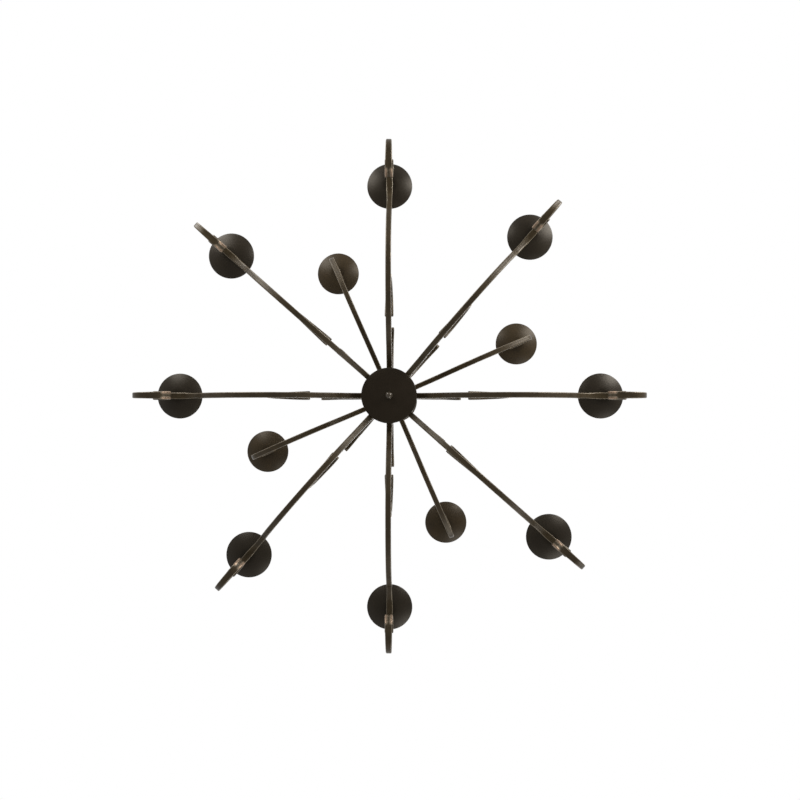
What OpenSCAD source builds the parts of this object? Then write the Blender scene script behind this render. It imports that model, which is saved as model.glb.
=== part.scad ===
// Two-tier wrought-iron chandelier with twelve candle lights, hung by a chain from a ceiling canopy.
// The origin is the centre of the ceiling plane, so the whole fixture hangs below z = 0.
// Eight lower arms stand in two frames of four, one ring lying under the other on the centre rod.
// Four upper arms stand in a third ring. The lower of the two frames and the upper ring can swivel.

/* [Overall] */
// Drop from the ceiling to the seats of the fixed frame's dishes
drop = 820; // [800:5:900]
// Radius of the circle that the lower dishes stand on
dish_circle = 451.5; // [440:0.5:470]
// Radius of the circle that the upper dishes stand on
upper_dish_circle = 319; // [305:0.5:330]
// Height of the upper dish seats above the lower ones
tier_rise = 226; // [220:1:240]
// Height by which the swivel frame hangs below the fixed frame
frame_step = 18.5; // [17:0.5:20]
// Angle from the fixed frame to the swivel frame
swivel_angle = 41.5; // [35:0.5:50]
// Angle from the fixed frame to the upper arms
upper_angle = 66.6; // [55:0.2:75]

/* [Forged bar] */
// Width of the bar, seen from below
bar_w = 11.6; // [10.4:0.2:12.2]
// Thickness of the bar, in the plane of the scroll
bar_t = 10; // [9:0.5:10.5]
// Chamfer along the bar's edges
bar_chamfer = 1.4; // [0.8:0.1:2]
// Width of the pad that a dish sits on
pad_w = 14; // [12.5:0.5:16]
// Length of a pad to each side of its middle
pad_reach = 42; // [36:1:52]
// Width of the fishtail at the end of a lower arm
arm_tip_w = 18.5; // [14:0.5:21]
// Length over which that fishtail spreads
arm_tail = 165; // [120:5:170]
// Width of the fishtail at the lower end of a brace scroll
brace_tip_w = 18.5; // [14:0.5:21]
// Length over which that fishtail spreads
brace_tail = 115; // [80:5:125]
// Width of a brace scroll at its upper end
brace_top_w = 14.5; // [12.5:0.5:18]
// Length over which that end spreads
brace_top_tail = 50; // [40:5:80]
// Width of an upper arm under its dish and at its cut end
upper_tip_w = 14.5; // [12.5:0.5:17]
// Length over which that end spreads
upper_tail = 40; // [30:5:60]
// Gap where two forged pieces bear on each other
weld_gap = 0.2; // [0.1:0.05:0.4]

/* [Lower arm] */
// Slope of the arm where it leaves its ring
root_slope = 8; // [4:1:12]
// Steepest slope where the arm falls from its ring
fall_slope = 50; // [46:1:52]
// Radius at which the arm falls most steeply
fall_at = 106; // [100:1:112]
// Radius at which the arm is lowest
low_at = 255; // [250:1:262]
// Steepest slope where the arm climbs to its dish
rise_slope = 62; // [58:1:64]
// Radius at which the arm climbs most steeply
rise_at = 395; // [385:1:400]
// Bend radius beyond the dish
crest_bend = 96; // [90:1:106]
// Bend radius at the outermost point
nose_bend = 47; // [43:1:51]
// Bend radius under the scroll
belly_bend = 31; // [28:1:34]
// Straight run under the scroll
belly_run = 12; // [8:1:18]
// Bend radius where the scroll turns up
heel_bend = 29; // [26:1:32]
// Bend radius over the scroll's eye
eye_bend = 20; // [18:1:23]
// Bend radius at the scroll's tip
tip_bend = 23; // [20:1:30]

/* [Brace scroll] */
// Radius at which the brace scroll bears on its arm
brace_seat_at = 190; // [184:1:196]
// Bend radius of the brace scroll's back
brace_back = 178; // [172:1:182]
// Turn of its back before its straight run
brace_sweep = 32; // [30:1:35]
// Straight run in its back
brace_run = 37.5; // [35:0.5:40]
// Bend radius of its lower curl
brace_curl = 41; // [38:1:45]
// Bend radius over its lower eye
brace_eye = 36.5; // [32:0.5:38]
// Bend radius of its lower tip
brace_tip = 58; // [48:1:62]
// Bend radius of its top curl
brace_top = 62; // [56:1:64]

/* [Upper arm] */
// Slope of the upper arm where it leaves its ring
upper_root_slope = 5; // [3:1:9]
// Steepest slope where the upper arm falls
upper_fall_slope = 40; // [36:1:42]
// Radius at which the upper arm falls most steeply
upper_fall_at = 153; // [145:1:158]
// Radius at which the upper arm is lowest
upper_low_at = 238; // [230:1:245]
// Slope at which the upper arm enters its curl
upper_rise_slope = 35; // [30:1:40]
// Bend radius of the curl under the upper dish
upper_curl = 28; // [25:0.5:30]
// Bend radius of the curl's tip
upper_tip = 21; // [18:0.5:24]

/* [Hub and column] */
// Radius of the two lower rings
ring_r = 45; // [43:0.5:47]
// Radius of the upper ring
upper_ring_r = 38; // [36:0.5:42]
// Thickness of a ring
ring_t = 15; // [14:0.5:15]
// Depth of the pockets that hold the arm roots
pocket_depth = 11; // [9:0.5:12]
// Clearance of an arm root in its pocket
pocket_gap = 0.15; // [0.1:0.05:0.3]
// Radius of the bush that the lower rings turn on
bush_r = 15; // [13:0.5:17]
// Radius of the spigot that the upper ring turns on
spigot_r = 12; // [10:0.5:14]
// Running clearance of a ring on its bush or spigot
running_gap = 0.05; // [0.03:0.01:0.09]
// Axial gap beside a ring that turns
face_gap = 0.25; // [0.2:0.05:0.4]
// Radius of the disc that closes the hub below
disc_r = 58.2; // [56:0.2:62]
// Thickness of the disc at its rim
disc_t = 3; // [2:0.5:4]
// Depth of the disc's dome
disc_dome = 5; // [3:0.5:8]
// Radius of the finial's ball
finial_r = 6.8; // [6:0.1:9]
// Radius of the threaded centre rod
rod_r = 4.8; // [4.5:0.1:5.2]
// Clearance around the rod and around threaded pieces
thread_gap = 0.15; // [0.1:0.05:0.3]
// Outer radius of the column tube
tube_r = 11; // [10:0.5:13]
// Wall of the column tube
tube_wall = 1.5; // [1:0.1:2.5]
// Radius of the knop on the column tube
knop_r = 21; // [18:0.5:26]
// Wall of the turned vase
vase_wall = 3; // [2.5:0.1:4]
// Radius of the bell cap on top of the column
cap_r = 29; // [26:0.5:34]
// Height of the bell cap
cap_h = 34; // [30:1:40]
// Wall of spun sheet pieces
sheet = 1.3; // [1:0.1:1.6]

/* [Lights] */
// Radius of a drip dish
dish_r = 48.5; // [45:0.5:51]
// Radius of the sphere that a dish is pressed to
dish_bowl = 83; // [75:1:95]
// Radius of a dish's beaded rim
dish_bead = 1.5; // [1.2:0.1:2]
// Radius of the hole in a dish
dish_hole = 6.2; // [5.8:0.1:7]
// Radius of the flat seat at the middle of a dish
dish_seat = 15; // [13.5:0.5:18]
// Radius of the threaded nipple in a dish
nipple_r = 4.8; // [4.5:0.1:5]
// Radius of a candle sleeve
candle_r = 12; // [11.5:0.1:13]
// Wall of a candle sleeve
candle_wall = 1; // [0.8:0.1:1.2]
// Height of a candle sleeve
candle_h = 95; // [85:1:110]
// Radius of a lamp socket
socket_r = 9.5; // [9.2:0.1:9.8]
// Height of a lamp socket's body
socket_h = 38; // [34:1:42]
// Radius of a lamp's screw base
base_r = 6; // [5.8:0.1:6.2]
// Radius of a lamp's glass
bulb_r = 16.5; // [15:0.5:17.5]
// Height of a lamp's glass
bulb_h = 78; // [70:1:86]

/* [Canopy and chain] */
// Radius of the canopy
canopy_r = 60; // [55:0.5:65]
// Depth of the canopy
canopy_h = 30; // [26:1:36]
// Length of the crossbar
crossbar_l = 104; // [100:1:108]
// Width of the crossbar
crossbar_w = 20; // [18:1:24]
// Thickness of the crossbar
crossbar_t = 2.5; // [2:0.5:3]
// Distance between the middles of the crossbar's two slots
slot_spacing = 79.4; // [76:0.2:83]
// Width of a slot
slot_w = 4.8; // [4.4:0.1:5.4]
// Length of a slot
slot_l = 14; // [10:0.5:16]
// Radius of the wire in the two end loops
loop_wire = 3; // [2.7:0.1:3.3]
// Mean radius of the two end loops
loop_r = 13; // [12:0.5:15]
// Radius of the wire in a chain link
link_wire = 2.5; // [2.2:0.1:2.7]
// Mean radius of a link's round ends
link_r = 10.5; // [10:0.1:12]
// Clear length inside a link
link_inside = 34; // [31:0.5:40]
// Gap where one link hangs on the next
link_gap = 0.3; // [0.2:0.05:0.4]

/* [Hidden] */
$fn = 64;

// Colours as the photograph shows them
iron = [0.20, 0.18, 0.15];
iron_dark = [0.13, 0.12, 0.10];
wax = [0.86, 0.80, 0.66];
glow = [1.0, 0.82, 0.52];
steel = [0.55, 0.55, 0.55];

// Degrees of bend between two stations, on wide, on middling and on tight bends
wide_step = 8;
middle_step = 12;
tight_step = 16;
wide_from = 100;
middle_from = 60;

// A state is [x, z, heading, length so far] in the upright plane of an arm.
// A bend is [radius, turn]. A turn above 0 bends left, and radius 0 runs straight for turn millimetres.
function bend_length(b) = b[0] == 0 ? b[1] : b[0]*abs(b[1])*PI/180;
function after(s, b) = b[0] == 0
    ? [s[0] + b[1]*cos(s[2]), s[1] + b[1]*sin(s[2]), s[2], s[3] + b[1]]
    : let(k = sign(b[1]), h = s[2] + b[1])
        [s[0] + k*b[0]*(sin(h) - sin(s[2])), s[1] + k*b[0]*(cos(s[2]) - cos(h)), h,
        s[3] + bend_length(b)];
function step_of(r) = r >= wide_from ? wide_step : r >= middle_from ? middle_step : tight_step;
function steps_of(b) = b[0] == 0 ? 1 : ceil(abs(b[1])/step_of(b[0]));
function stations(s, path, i = 0) = i == len(path)
    ? [s]
    : let(n = steps_of(path[i]))
        concat([for (j = [0:n - 1]) after(s, [path[i][0], path[i][1]*j/n])],
            stations(after(s, path[i]), path, i + 1));
function end_of(s, path, i = 0) = i == len(path) ? s : end_of(after(s, path[i]), path, i + 1);
function reversed(list) = [for (i = [len(list) - 1:-1:0]) list[i]];

// The bar is spread by hammering at its fishtails and pads. A spread is [place along the bar, width, reach].
function swell(d, reach) = d >= reach ? 0 : pow(cos(90*d/reach), 2);
function width_at(d, spreads) =
    max([bar_w, for (k = spreads) bar_w + (k[1] - bar_w)*swell(abs(d - k[0]), k[2])]);
// Spreading leaves the area of the section as it was
function thickness_of(w) = bar_t*bar_w/w;

// One eight-cornered section of the bar, square to its path
function section(s, w) = let(t = thickness_of(w), c = min(bar_chamfer, t/3),
        corners = [[-t/2, -w/2 + c], [-t/2, w/2 - c], [-t/2 + c, w/2], [t/2 - c, w/2],
            [t/2, w/2 - c], [t/2, -w/2 + c], [t/2 - c, -w/2], [-t/2 + c, -w/2]])
    [for (p = corners) [s[0] - p[0]*sin(s[2]), p[1], s[1] + p[0]*cos(s[2])]];

// A forged bar through its stations
module forged_bar(list, spreads) {
    last = len(list) - 1;
    points = [for (s = list, p = section(s, width_at(s[3], spreads))) p];
    sides = [for (i = [0:last - 1], j = [0:7])
        let(k = (j + 1) % 8)
        [i*8 + j, i*8 + k, (i + 1)*8 + k, (i + 1)*8 + j]];
    near_end = [for (j = [7:-1:0]) j];
    far_end = [for (j = [0:7]) last*8 + j];
    polyhedron(points = points, faces = concat(sides, [near_end], [far_end]));
}

// Path of a lower arm from its ring to the tip of its scroll
root_straight = pocket_depth + 1;
arm_start_x = ring_r - pocket_depth;
bend_from = arm_start_x + root_straight*cos(root_slope);
arm_to_dish = [[0, root_straight],
    [(fall_at - bend_from)/(sin(fall_slope) - sin(root_slope)), root_slope - fall_slope],
    [(low_at - fall_at)/sin(fall_slope), fall_slope],
    [(rise_at - low_at)/sin(rise_slope), rise_slope],
    [(dish_circle - rise_at)/sin(rise_slope), -rise_slope]];
arm_scroll = [[crest_bend, -38], [nose_bend, -52], [belly_bend, -90], [0, belly_run],
    [heel_bend, -90], [eye_bend, -90], [tip_bend, -45]];
arm_crest = end_of([0, 0, -root_slope, 0], arm_to_dish);
crest_z = -thickness_of(pad_w)/2 - weld_gap;
arm_start_z = crest_z - arm_crest[1];
arm_start = [arm_start_x, arm_start_z, -root_slope, 0];
arm_path = concat(arm_to_dish, arm_scroll);
arm_spreads = [[arm_crest[3], pad_w, pad_reach],
    [end_of(arm_start, arm_path)[3], arm_tip_w, arm_tail]];

// Path of a brace scroll, from the point where it bears on its arm
arm_low = end_of(arm_start, [arm_to_dish[0], arm_to_dish[1], arm_to_dish[2]]);
low_bend = arm_to_dish[2][0];
seat_slope = asin((low_at - brace_seat_at)/low_bend);
seat_lift = bar_t + 2*weld_gap;
seat_x = brace_seat_at + seat_lift*sin(seat_slope);
seat_z = arm_low[1] + low_bend*(1 - cos(seat_slope)) + seat_lift*cos(seat_slope);
brace_down = [[brace_curl, seat_slope + 90], [brace_eye, 90], [brace_tip, 50]];
brace_rise = [[brace_back, -brace_sweep], [0, brace_run],
    [brace_back, brace_sweep + seat_slope - 90]];
brace_up = concat(brace_rise, [[brace_top, -133]]);
// The upper part is bent back from its far end, so that one path runs from tip to tip
brace_far = end_of([seat_x, seat_z, 180 - seat_slope, 0], brace_up);
brace_start = [brace_far[0], brace_far[1], brace_far[2] - 180, 0];
brace_path = concat([for (b = reversed(brace_up)) [b[0], b[0] == 0 ? b[1] : -b[1]]], brace_down);
brace_spreads = [[0, brace_top_w, brace_top_tail],
    [end_of(brace_start, brace_path)[3], brace_tip_w, brace_tail]];
brace_mid = end_of([seat_x, seat_z, 180 - seat_slope, 0], brace_rise);
brace_back_x = brace_mid[0];
brace_back_z = brace_mid[1];

// Path of an upper arm from its ring to the tip of its curl
upper_start_x = upper_ring_r - pocket_depth;
upper_bend_from = upper_start_x + root_straight*cos(upper_root_slope);
upper_to_curl = [[0, root_straight],
    [(upper_fall_at - upper_bend_from)/(sin(upper_fall_slope) - sin(upper_root_slope)),
        upper_root_slope - upper_fall_slope],
    [(upper_low_at - upper_fall_at)/sin(upper_fall_slope), upper_fall_slope],
    [(upper_dish_circle + upper_curl*sin(upper_rise_slope) - upper_low_at)/sin(upper_rise_slope),
        upper_rise_slope]];
upper_eye = [[upper_curl, 180 - upper_rise_slope], [upper_tip, 70]];
upper_path = concat(upper_to_curl, upper_eye);
upper_full = end_of([0, 0, 0, 0], upper_path)[3];
upper_seat = upper_full - bend_length(upper_eye[1]);
upper_spreads = [[upper_seat, upper_tip_w, pad_reach], [upper_full, upper_tip_w, upper_tail]];
upper_crest_t = thickness_of(width_at(upper_seat, upper_spreads));
upper_crest_z = tier_rise - upper_crest_t/2 - weld_gap;
upper_join_z = upper_crest_z - upper_curl*(1 + cos(upper_rise_slope));
upper_start_z = upper_join_z - end_of([0, 0, -upper_root_slope, 0], upper_to_curl)[1];
upper_start = [upper_start_x, upper_start_z, -upper_root_slope, 0];

// Levels of the hub, counted from the seats of the fixed frame's dishes
pocket_mid = (pocket_depth + 1)/2;
ring_z = arm_start_z - pocket_mid*sin(root_slope);
swivel_ring_z = ring_z - frame_step;
upper_ring_z = upper_start_z - pocket_mid*sin(upper_root_slope);
disc_boss_z = swivel_ring_z - ring_t/2 - face_gap;
disc_rim_z = disc_boss_z - 3.6;
disc_low_z = disc_rim_z - disc_t - disc_dome;
vase_foot_z = ring_z + ring_t/2 + weld_gap;
vase_top_z = upper_ring_z - ring_t/2 - face_gap;
spigot_top_z = upper_ring_z + ring_t/2 + face_gap;
rod_hole = rod_r + thread_gap;
vase_belly = brace_back_x - bar_t/2 - face_gap;

// Levels of the chain and of the column's top, counted from the ceiling
loop_neck_z = -canopy_h - 16;
loop_mid_z = loop_neck_z - loop_r - 1;
loop_low_z = loop_mid_z - loop_r;
link_pitch = link_inside - link_gap;
link_length = link_inside + 2*link_wire;
first_top_z = loop_low_z + loop_wire + link_wire + link_gap;
last_low_z = first_top_z - 4*link_pitch - link_length;
fixture_top_z = last_low_z + link_wire + loop_wire + link_gap;
fixture_mid_z = fixture_top_z - loop_r;
fixture_neck_z = fixture_mid_z - loop_r - 1;
cap_top_z = fixture_neck_z - 16;
tube_low_z = spigot_top_z;
tube_high_z = cap_top_z + drop - sheet - 2*weld_gap;
knop_z = (tube_low_z + tube_high_z)/2 + 20;

// Levels of one light, counted from its dish's seat
dish_floor = sheet;
candle_foot = dish_floor + weld_gap;
candle_top = candle_foot + candle_h;
socket_top = candle_top - 4;
socket_low = socket_top - socket_h;
stem_low = 14;
nipple_top = 24;
bore_depth = 24;
base_foot = socket_top - bore_depth + weld_gap;

module at_lights(circle_r, turn, z) {
    for (i = [0:3])
        rotate([0, 0, turn + 90*i]) translate([circle_r, 0, z]) children();
}

// Ceiling pieces

module crossbar() {
    color(steel)
        difference() {
            translate([-crossbar_l/2, -crossbar_w/2, -crossbar_t])
                cube([crossbar_l, crossbar_w, crossbar_t]);
            for (side = [-1, 1])
                translate([side*slot_spacing/2, 0, -crossbar_t - 1]) slot_hole();
            translate([0, 0, -crossbar_t - 1]) cylinder(h = crossbar_t + 2, r = rod_hole);
        }
}

module slot_hole() {
    straight = slot_l - slot_w;
    translate([-straight/2, -slot_w/2, 0]) cube([straight, slot_w, crossbar_t + 2]);
    for (end = [-1, 1])
        translate([end*straight/2, 0, 0]) cylinder(h = crossbar_t + 2, r = slot_w/2);
}

// The threaded nipple that joins the crossbar to the loop
module ceiling_nipple() {
    color(steel)
        translate([0, 0, loop_neck_z + 4])
            cylinder(h = -loop_neck_z - 4.5, r = rod_r);
}

// One hexagon nut under the crossbar and one on the loop's shoulder
module nipple_nuts() {
    color(steel)
        for (z = [-crossbar_t - 4.2, loop_shoulder_z + 0.2])
            translate([0, 0, z])
                difference() {
                    cylinder(h = 4, r = 8.5, $fn = 6);
                    translate([0, 0, -1]) cylinder(h = 6, r = rod_hole);
                }
}
loop_shoulder_z = -canopy_h + 6;
collar_hole = 11.4;

// Spun cup that hides the ceiling box, with a flat bottom and a turned lip
module canopy() {
    round_r = 16;
    color(iron)
        difference() {
            rotate_extrude() canopy_outline(0, round_r);
            rotate_extrude() translate([0, 0.001]) canopy_outline(sheet, round_r);
            translate([0, 0, -canopy_h - 1]) cylinder(h = 4, r = collar_hole);
        }
}

module canopy_outline(inset, round_r) {
    side_r = canopy_r - 5 - inset;
    low = -canopy_h + inset;
    bend = round_r - inset;
    polygon(concat(
        [[0, 0], [canopy_r - inset, 0], [canopy_r - inset, -1.5], [side_r, -5]],
        [for (a = [0:15:90]) [side_r - bend + bend*cos(a), low + bend - bend*sin(a)]],
        [[0, low]]));
}

// Ring nut that holds the canopy up on the loop's thread
module canopy_collar() {
    color(iron)
        translate([0, 0, -canopy_h - 0.2])
            rotate_extrude()
                polygon([[collar_hole - 0.25, 0], [17, 0], [18.5, -2], [18.5, -5], [15.5, -7.5],
                    [collar_hole - 0.25, -7.5]]);
}

// Threaded body with the ring that the chain hangs on
module canopy_loop() {
    color(iron)
        difference() {
            union() {
                translate([0, 0, loop_neck_z + 3])
                    cylinder(h = loop_shoulder_z - loop_neck_z - 3, r = collar_hole - 0.4);
                translate([0, 0, loop_neck_z - 1.6]) cylinder(h = 6, r1 = 5.5, r2 = collar_hole - 0.4);
                translate([0, 0, loop_mid_z]) loop_ring();
            }
            translate([0, 0, loop_neck_z + 3.8])
                cylinder(h = 40, r = rod_hole);
        }
}

module loop_ring() {
    rotate([90, 0, 0]) rotate_extrude() translate([loop_r, 0]) circle(r = loop_wire);
}

// Chain of five welded links, each turned a quarter from the last

module chain_link(i) {
    top = first_top_z - i*link_pitch;
    straight = link_length - 2*link_r;
    color(iron)
        translate([0, 0, top - link_r])
            rotate([0, 0, i % 2 == 0 ? 90 : 0]) {
                rotate([90, 0, 0]) rotate_extrude(angle = 180) translate([link_r, 0]) circle(r = link_wire);
                translate([0, 0, -straight])
                    rotate([-90, 0, 0]) rotate_extrude(angle = 180) translate([link_r, 0])
                        circle(r = link_wire);
                for (side = [-1, 1])
                    translate([side*link_r, 0, -straight]) cylinder(h = straight, r = link_wire);
            }
}

// Column, from the loop down to the finial

module fixture_loop() {
    color(iron)
        difference() {
            union() {
                translate([0, 0, fixture_mid_z]) loop_ring();
                translate([0, 0, cap_top_z + 3]) cylinder(h = 15.5, r1 = 9.5, r2 = 5);
                translate([0, 0, cap_top_z + weld_gap]) cylinder(h = 3, r = 11.5);
            }
            translate([0, 0, cap_top_z - 1]) cylinder(h = 13, r = rod_hole);
        }
}

// Bell-shaped cap over the top of the tube
module top_cap() {
    color(iron)
        translate([0, 0, cap_top_z])
            difference() {
                rotate_extrude() bell_outline(0);
                translate([0, 0, -sheet]) rotate_extrude() bell_outline(sheet);
                translate([0, 0, -sheet - 1]) cylinder(h = sheet + 2, r = rod_hole);
            }
}

module bell_outline(inset) {
    neck = tube_r + 3 - inset;
    flare = cap_r - tube_r - 3;
    low = -cap_h + (inset > 0 ? sheet - 1 : 0);
    polygon(concat([[0, 0], [neck - 2, 0]],
        [for (a = [0:10:90]) [neck + flare*(1 - cos(a)), -2 + (low + 2)*sin(a)]],
        [[0, low]]));
}

module column_tube() {
    color(iron)
        translate([0, 0, tube_low_z - drop])
            difference() {
                union() {
                    cylinder(h = tube_high_z - tube_low_z, r = tube_r);
                    cylinder(h = 5, r = tube_r + 7);
                    translate([0, 0, 5]) cylinder(h = 4, r1 = tube_r + 7, r2 = tube_r);
                }
                translate([0, 0, -1])
                    cylinder(h = tube_high_z - tube_low_z + 2, r = tube_r - tube_wall);
            }
}

// Turned knop on the tube, with a bead above and below it
module column_knop() {
    half = 24;
    color(iron)
        translate([0, 0, knop_z - drop])
            rotate_extrude()
                polygon(concat(
                    [[tube_r + thread_gap, -half], [tube_r + 5, -half], [tube_r + 6.5, -half + 3],
                        [tube_r + 5, -half + 6]],
                    [for (a = [-75:15:75]) [tube_r + 2 + (knop_r - tube_r - 2)*cos(a), 16*sin(a)]],
                    [[tube_r + 5, half - 6], [tube_r + 6.5, half - 3], [tube_r + 5, half],
                        [tube_r + thread_gap, half]]));
}

// Threaded rod that clamps the whole stack
module centre_rod() {
    low = disc_low_z - 6;
    color(steel)
        translate([0, 0, low - drop])
            cylinder(h = cap_top_z + 11 + drop - low, r = rod_r);
}

// Turned hollow vase between the lower and the upper rings
module column_vase() {
    color(iron)
        translate([0, 0, -drop])
            difference() {
                rotate_extrude() vase_outline(0);
                rotate_extrude() vase_outline(vase_wall);
                translate([0, 0, vase_foot_z - 1])
                    cylinder(h = spigot_top_z - vase_foot_z + 2, r = rod_hole);
            }
}

// Half outline of the vase: foot, neck, belly, neck, collar and spigot
function vase_r(z) = let(
        belly = brace_back_z,
        low = vase_foot_z + 34,
        high = belly + 52)
    z < low ? 19 + 8*pow(cos(90*(z - vase_foot_z)/(low - vase_foot_z)), 2)
    : z < belly ? 19 + (vase_belly - 19)*pow(sin(90*(z - low)/(belly - low)), 2)
    : z < high ? vase_belly - (vase_belly - 17)*pow(sin(90*(z - belly)/(high - belly)), 2)
    : 17;

module vase_outline(inset) {
    steps = 26;
    low = vase_foot_z + 2*inset;
    high = vase_top_z - 8 - (inset > 0 ? inset : 0);
    outline = [for (i = [0:steps]) let(z = low + (high - low)*i/steps) [vase_r(z) - inset, z]];
    collar = [[26, vase_top_z - 7], [28, vase_top_z - 5], [28, vase_top_z], [spigot_r, vase_top_z],
        [spigot_r, spigot_top_z - face_gap/2]];
    top = inset > 0 ? [[0, high]] : concat(collar, [[0, spigot_top_z - face_gap/2]]);
    polygon(concat([[0, low]], outline, top));
}

// Bush that both lower rings sit on
module hub_bush() {
    color(steel)
        translate([0, 0, disc_boss_z - drop])
            difference() {
                cylinder(h = vase_foot_z - disc_boss_z - weld_gap, r = bush_r);
                translate([0, 0, -1])
                    cylinder(h = vase_foot_z - disc_boss_z + 2, r = rod_hole);
            }
}

// Washer between the two lower rings
module hub_washer() {
    thick = frame_step - ring_t - 2*face_gap;
    color(steel)
        translate([0, 0, swivel_ring_z + ring_t/2 + face_gap - drop])
            difference() {
                cylinder(h = thick, r = bush_r + 12);
                translate([0, 0, -1]) cylinder(h = thick + 2, r = bush_r + running_gap);
            }
}

// Domed disc that closes the hub, the part seen from straight below
module hub_disc() {
    dome = [for (a = [0:10:90]) [disc_r*cos(a), disc_rim_z - disc_t - disc_dome*sin(a)]];
    color(iron_dark)
        translate([0, 0, -drop])
            difference() {
                rotate_extrude()
                    polygon(concat([[0, disc_boss_z - weld_gap], [bush_r + 5, disc_boss_z - weld_gap],
                        [bush_r + 9, disc_rim_z], [disc_r, disc_rim_z]], dome));
                translate([0, 0, disc_low_z - 1])
                    cylinder(h = disc_boss_z - disc_low_z + 2, r = rod_hole);
            }
}

// Ball finial, the nut that clamps the stack from below
module finial() {
    neck_z = disc_low_z - weld_gap;
    color(iron_dark)
        translate([0, 0, -drop])
            difference() {
                union() {
                    translate([0, 0, neck_z - 2.5]) cylinder(h = 2.5, r = 7.5);
                    translate([0, 0, neck_z - 6]) cylinder(h = 4, r1 = 5.8, r2 = 6.5);
                    translate([0, 0, neck_z - 3.5 - finial_r]) sphere(r = finial_r);
                }
                translate([0, 0, neck_z - 6.5]) cylinder(h = 8, r = rod_hole);
            }
}

// Rings and arms

// A ring with four pockets for arm roots and a bore that turns on a bush or a spigot
module arm_ring(outer, bore, z, turn, slope, root_z) {
    color(iron)
        translate([0, 0, -drop])
            difference() {
                rotate_extrude()
                    polygon([[bore, z - ring_t/2], [outer - 2, z - ring_t/2], [outer, z - ring_t/2 + 2],
                        [outer, z + ring_t/2 - 2], [outer - 2, z + ring_t/2], [bore, z + ring_t/2]]);
                for (i = [0:3])
                    rotate([0, 0, turn + 90*i])
                        translate([outer - pocket_depth, 0, root_z])
                            rotate([0, slope, 0])
                                translate([-pocket_gap, -bar_w/2 - pocket_gap, -bar_t/2 - pocket_gap])
                                    cube([pocket_depth + 5, bar_w + 2*pocket_gap, bar_t + 2*pocket_gap]);
            }
}

module fixed_ring() {
    arm_ring(ring_r, bush_r + running_gap, ring_z, 0, root_slope, arm_start_z);
}

module swivel_ring() {
    arm_ring(ring_r, bush_r + running_gap, swivel_ring_z, swivel_angle, root_slope,
        arm_start_z - frame_step);
}

module upper_ring() {
    arm_ring(upper_ring_r, spigot_r + running_gap, upper_ring_z, upper_angle, upper_root_slope,
        upper_start_z);
}

module lower_arm(turn, lower) {
    color(iron)
        rotate([0, 0, turn])
            translate([0, 0, -drop - lower])
                forged_bar(stations(arm_start, arm_path), arm_spreads);
}

module brace_scroll(turn, lower) {
    color(iron)
        rotate([0, 0, turn])
            translate([0, 0, -drop - lower])
                forged_bar(stations(brace_start, brace_path), brace_spreads);
}

module upper_arm(turn) {
    color(iron)
        rotate([0, 0, turn])
            translate([0, 0, -drop])
                forged_bar(stations(upper_start, upper_path), upper_spreads);
}

// Lights

// Drip dish pressed to a shallow bowl, with a beaded rim and a flat seat
module dish() {
    seat_z = dish_bowl - sqrt(dish_bowl*dish_bowl - dish_seat*dish_seat);
    rim_x = dish_r - dish_bead;
    rim_z = dish_bowl - sqrt(dish_bowl*dish_bowl - rim_x*rim_x) - seat_z;
    color(iron)
        difference() {
            union() {
                intersection() {
                    translate([0, 0, dish_bowl - seat_z]) sphere(r = dish_bowl);
                    cylinder(h = rim_z, r = rim_x);
                }
                translate([0, 0, rim_z]) rotate_extrude() translate([rim_x, 0]) circle(r = dish_bead);
            }
            intersection() {
                translate([0, 0, dish_bowl - seat_z]) sphere(r = dish_bowl - sheet);
                translate([0, 0, sheet]) cylinder(h = rim_z + 10, r = dish_r + 10);
            }
            translate([0, 0, -1]) cylinder(h = 10, r = dish_hole);
        }
}

// Threaded nipple with a hexagon shoulder that holds the dish down
module nipple() {
    color(steel)
        union() {
            translate([0, 0, weld_gap/2]) cylinder(h = nipple_top, r = nipple_r);
            translate([0, 0, candle_foot]) cylinder(h = 5, r = 9, $fn = 6);
        }
}

// Lamp socket on its stem, bored below for the nipple and above for the lamp
module socket() {
    color(iron_dark)
        difference() {
            union() {
                translate([0, 0, socket_low]) cylinder(h = socket_h, r = socket_r);
                translate([0, 0, stem_low]) cylinder(h = socket_low - stem_low, r = 7);
            }
            translate([0, 0, stem_low - 1])
                cylinder(h = nipple_top - stem_low + 2, r = nipple_r + thread_gap);
            translate([0, 0, socket_top - bore_depth]) cylinder(h = bore_depth + 1, r = base_r + thread_gap);
        }
}

// Candle sleeve over the socket, with a softly rounded top edge
module candle() {
    color(wax)
        difference() {
            union() {
                translate([0, 0, candle_foot]) cylinder(h = candle_h - 1, r = candle_r);
                translate([0, 0, candle_top - 1]) cylinder(h = 1, r1 = candle_r, r2 = candle_r - 0.6);
            }
            translate([0, 0, candle_foot - 1]) cylinder(h = candle_h + 2, r = candle_r - candle_wall);
        }
}

// Candle-shaped lamp with its screw base
module bulb() {
    glass_z = socket_top + weld_gap;
    steps = 14;
    outline = [for (i = [0:steps])
        let(f = i/steps)
        [max(bulb_r*pow(sin(180*pow(f, 0.62)), 0.8), f < 0.5 ? base_r : 0), glass_z + bulb_h*f]];
    color(glow)
        rotate_extrude()
            polygon(concat([[0, base_foot], [base_r, base_foot]], outline, [[0, glass_z + bulb_h]]));
}

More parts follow.
